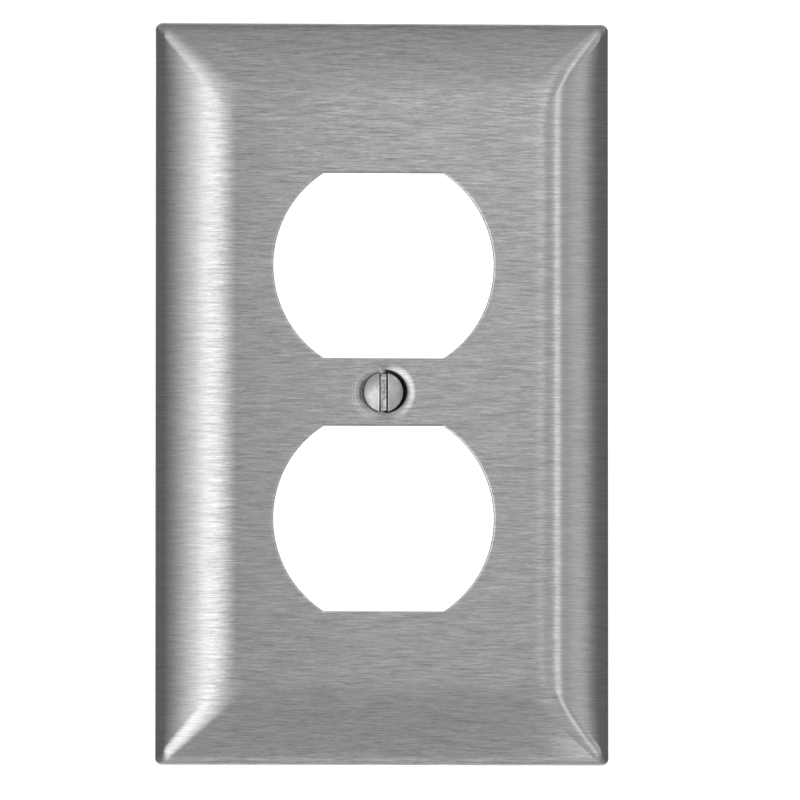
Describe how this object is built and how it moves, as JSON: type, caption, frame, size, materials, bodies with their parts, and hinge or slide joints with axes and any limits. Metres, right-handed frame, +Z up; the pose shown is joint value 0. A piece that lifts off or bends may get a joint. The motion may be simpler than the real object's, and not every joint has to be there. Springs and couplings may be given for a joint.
{
  "type": "duplex receptacle wall plate",
  "caption": "Brushed stainless wall plate for a duplex receptacle, with flat-sided round openings and a captive slotted oval-head mounting screw.",
  "frame": {"origin": "where the mounting screw's axis meets the wall, in the middle of the plate's back", "axes": "+Z up the wall, along the plate's height; +X to the right seen from the front; +Y into the wall, so the front faces -Y"},
  "size_m": [0.0698, 0.0134, 0.1142],
  "materials": {
    "brushed_stainless": "satin, brushed across the plate's width",
    "screw_steel": "turned and tumbled bright, cold-rolled thread",
    "natural_nylon": "natural, slightly translucent"
  },
  "bodies": {
    "cover": {"cover_plate": "brushed_stainless"},
    "retainer": {"captive_washer": "natural_nylon"},
    "screw": {"mounting_screw": "screw_steel"}
  },
  "joints": [
    {"name": "screw_travel", "type": "slide", "parent": "cover", "child": "retainer", "axis": [0, 1, 0], "range_m": [-0.00198, 0]},
    {"name": "screw_turn", "type": "hinge", "parent": "retainer", "child": "screw", "pos_m": [0, 0, 0], "axis": [0, 1, 0], "range_deg": [-900, 0]}
  ],
  "couplings": [
    {"joint": "screw_turn", "follows": "screw_travel", "rad_per_m": 7915.8}
  ]
}
